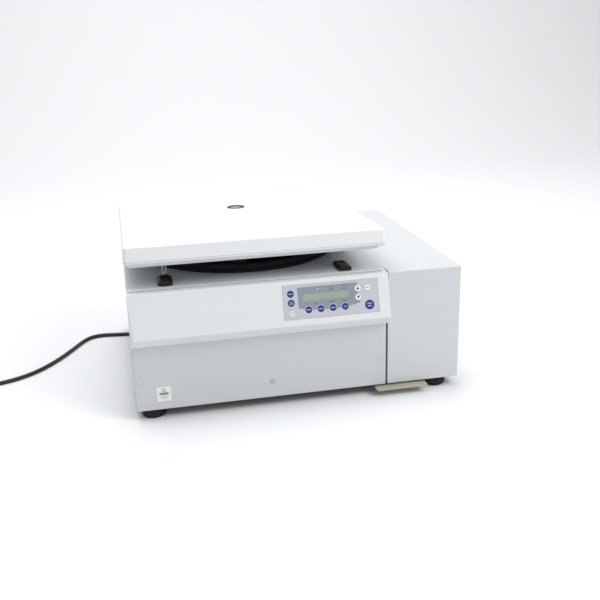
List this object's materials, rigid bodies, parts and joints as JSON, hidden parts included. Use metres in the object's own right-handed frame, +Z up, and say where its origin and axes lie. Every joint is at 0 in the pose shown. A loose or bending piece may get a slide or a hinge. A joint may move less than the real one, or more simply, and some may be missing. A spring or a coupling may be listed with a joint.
{
  "type": "refrigerated microplate centrifuge",
  "caption": "Low white bench centrifuge with a sprung lid standing ajar over a round rotor chamber, a sloping keypad fascia, a cooling bay on the right and a slide-out drip tray.",
  "frame": {"origin": "on the bench, under the middle of the machine's 700 x 610 mm outline, without its mains lead", "axes": "+Z up, -Y towards the user (the fascia), +X to the user's right (the cooling bay)"},
  "size_m": [1.175, 0.8079, 0.3652],
  "materials": {
    "white_paint": "satin",
    "grey_paint": "satin",
    "lid_plastic": "satin",
    "fascia_plastic": "satin",
    "keypad_foil": "matte",
    "key_blue": "satin",
    "key_white": "satin",
    "lcd": "gloss",
    "board_green": "satin",
    "black_rubber": "matte",
    "black_plastic": "matte",
    "liner_steel": "satin",
    "stainless": "brushed",
    "steel": "satin",
    "bright_steel": "polished",
    "armour_steel": "matte",
    "foam": "matte",
    "copper": "satin",
    "aluminium": "anodised",
    "dark_aluminium": "anodised",
    "compressor_black": "satin",
    "window": "clear",
    "tray_cream": "satin",
    "zinc": "satin"
  },
  "bodies": {
    "housing": {"base_pan": "zinc", "feet": "black_rubber", "top_hood": "white_paint", "front_panel": "grey_paint", "panel_plugs": "grey_paint", "rear_panel": "grey_paint", "control_fascia": "fascia_plastic", "keypad_overlay": "keypad_foil", "display_module": "lcd", "keypad_board": "board_green", "chamber_bowl": "stainless", "chamber_seal": "black_rubber", "chamber_insulation": "foam", "evaporator_coil": "copper", "guard_ring": "armour_steel", "motor_housing": "dark_aluminium", "rubber_mounts": "black_rubber", "hinge_brackets": "zinc", "hinge_pins": "steel", "hinge_springs": "steel", "lock_covers": "black_plastic", "lock_motors": "black_plastic", "compressor": "compressor_black", "condenser": "aluminium", "fan_shroud": "black_plastic", "fan_guard": "black_plastic", "drive_board": "board_green", "power_inlet": "black_plastic", "lead_connector": "black_rubber", "mains_lead": "black_rubber", "lead_coil": "black_rubber", "mains_plug": "black_rubber"},
    "lid": {"lid_shell": "lid_plastic", "lid_liner": "liner_steel", "lid_seal_disc": "black_rubber", "viewing_port": "black_plastic", "lid_window": "window", "lid_strikers": "bright_steel", "hinge_arms": "steel"},
    "rotor": {"drive_shaft": "steel", "rotor_yoke": "aluminium", "rotor_nut": "steel"},
    "left_bucket": {"bucket_left": "dark_aluminium"},
    "right_bucket": {"bucket_right": "dark_aluminium"},
    "left_bolt": {"lock_bolt_left": "steel"},
    "right_bolt": {"lock_bolt_right": "steel"},
    "tray": {"drip_tray": "tray_cream"},
    "rocker": {"power_rocker": "black_plastic"},
    "fan": {"fan_impeller": "black_plastic"},
    "key_left_1_cap": {"key_left_1": "key_blue"},
    "key_left_2_cap": {"key_left_2": "key_blue"},
    "key_left_3_cap": {"key_left_3": "key_white"},
    "key_row_1_cap": {"key_row_1": "key_blue"},
    "key_row_2_cap": {"key_row_2": "key_blue"},
    "key_row_3_cap": {"key_row_3": "key_blue"},
    "key_row_4_cap": {"key_row_4": "key_blue"},
    "key_up_cap": {"key_up": "key_white"},
    "key_down_cap": {"key_down": "key_white"},
    "key_open_cap": {"key_open": "key_white"},
    "key_start_cap": {"key_start": "key_blue"}
  },
  "joints": [
    {"name": "lid_hinge", "type": "hinge", "parent": "housing", "child": "lid", "pos_m": [-0.083, 0.277, 0.293], "axis": [-1, 0, 0], "range_deg": [-2.3, 67.7]},
    {"name": "rotor_spin", "type": "hinge", "parent": "housing", "child": "rotor", "pos_m": [-0.083, 0.021, 0.2], "axis": [0, 0, 1], "continuous": true},
    {"name": "left_bucket_swing", "type": "hinge", "parent": "rotor", "child": "left_bucket", "pos_m": [-0.187, 0.021, 0.222], "axis": [0, 1, 0], "range_deg": [-4, 90]},
    {"name": "right_bucket_swing", "type": "hinge", "parent": "rotor", "child": "right_bucket", "pos_m": [0.021, 0.021, 0.222], "axis": [0, -1, 0], "range_deg": [-4, 90]},
    {"name": "left_bolt_slide", "type": "slide", "parent": "housing", "child": "left_bolt", "axis": [0, -1, 0], "range_m": [0, 0.0075]},
    {"name": "right_bolt_slide", "type": "slide", "parent": "housing", "child": "right_bolt", "axis": [0, -1, 0], "range_m": [0, 0.0075]},
    {"name": "tray_slide", "type": "slide", "parent": "housing", "child": "tray", "axis": [0, -1, 0], "range_m": [0, 0.15]},
    {"name": "power_rocker_tilt", "type": "hinge", "parent": "housing", "child": "rocker", "pos_m": [-0.135, 0.298, 0.116], "axis": [1, 0, 0], "range_deg": [-18, 0]},
    {"name": "fan_spin", "type": "hinge", "parent": "housing", "child": "fan", "pos_m": [0.26875, 0.28, 0.15], "axis": [0, 1, 0], "continuous": true},
    {"name": "key_left_1_press", "type": "slide", "parent": "housing", "child": "key_left_1_cap", "axis": [0, 0.9595, -0.2819], "range_m": [0, 0.0005], "stiffness_N_per_m": 500},
    {"name": "key_left_2_press", "type": "slide", "parent": "housing", "child": "key_left_2_cap", "axis": [0, 0.9595, -0.2819], "range_m": [0, 0.0005], "stiffness_N_per_m": 500},
    {"name": "key_left_3_press", "type": "slide", "parent": "housing", "child": "key_left_3_cap", "axis": [0, 0.9595, -0.2819], "range_m": [0, 0.0005], "stiffness_N_per_m": 500},
    {"name": "key_row_1_press", "type": "slide", "parent": "housing", "child": "key_row_1_cap", "axis": [0, 0.9595, -0.2819], "range_m": [0, 0.0005], "stiffness_N_per_m": 500},
    {"name": "key_row_2_press", "type": "slide", "parent": "housing", "child": "key_row_2_cap", "axis": [0, 0.9595, -0.2819], "range_m": [0, 0.0005], "stiffness_N_per_m": 500},
    {"name": "key_row_3_press", "type": "slide", "parent": "housing", "child": "key_row_3_cap", "axis": [0, 0.9595, -0.2819], "range_m": [0, 0.0005], "stiffness_N_per_m": 500},
    {"name": "key_row_4_press", "type": "slide", "parent": "housing", "child": "key_row_4_cap", "axis": [0, 0.9595, -0.2819], "range_m": [0, 0.0005], "stiffness_N_per_m": 500},
    {"name": "key_up_press", "type": "slide", "parent": "housing", "child": "key_up_cap", "axis": [0, 0.9595, -0.2819], "range_m": [0, 0.0005], "stiffness_N_per_m": 500},
    {"name": "key_down_press", "type": "slide", "parent": "housing", "child": "key_down_cap", "axis": [0, 0.9595, -0.2819], "range_m": [0, 0.0005], "stiffness_N_per_m": 500},
    {"name": "key_open_press", "type": "slide", "parent": "housing", "child": "key_open_cap", "axis": [0, 0.9595, -0.2819], "range_m": [0, 0.0005], "stiffness_N_per_m": 500},
    {"name": "key_start_press", "type": "slide", "parent": "housing", "child": "key_start_cap", "axis": [0, 0.9595, -0.2819], "range_m": [0, 0.0005], "stiffness_N_per_m": 500}
  ],
  "couplings": [
    {"joint": "right_bolt_slide", "follows": "left_bolt_slide", "ratio": 1}
  ]
}
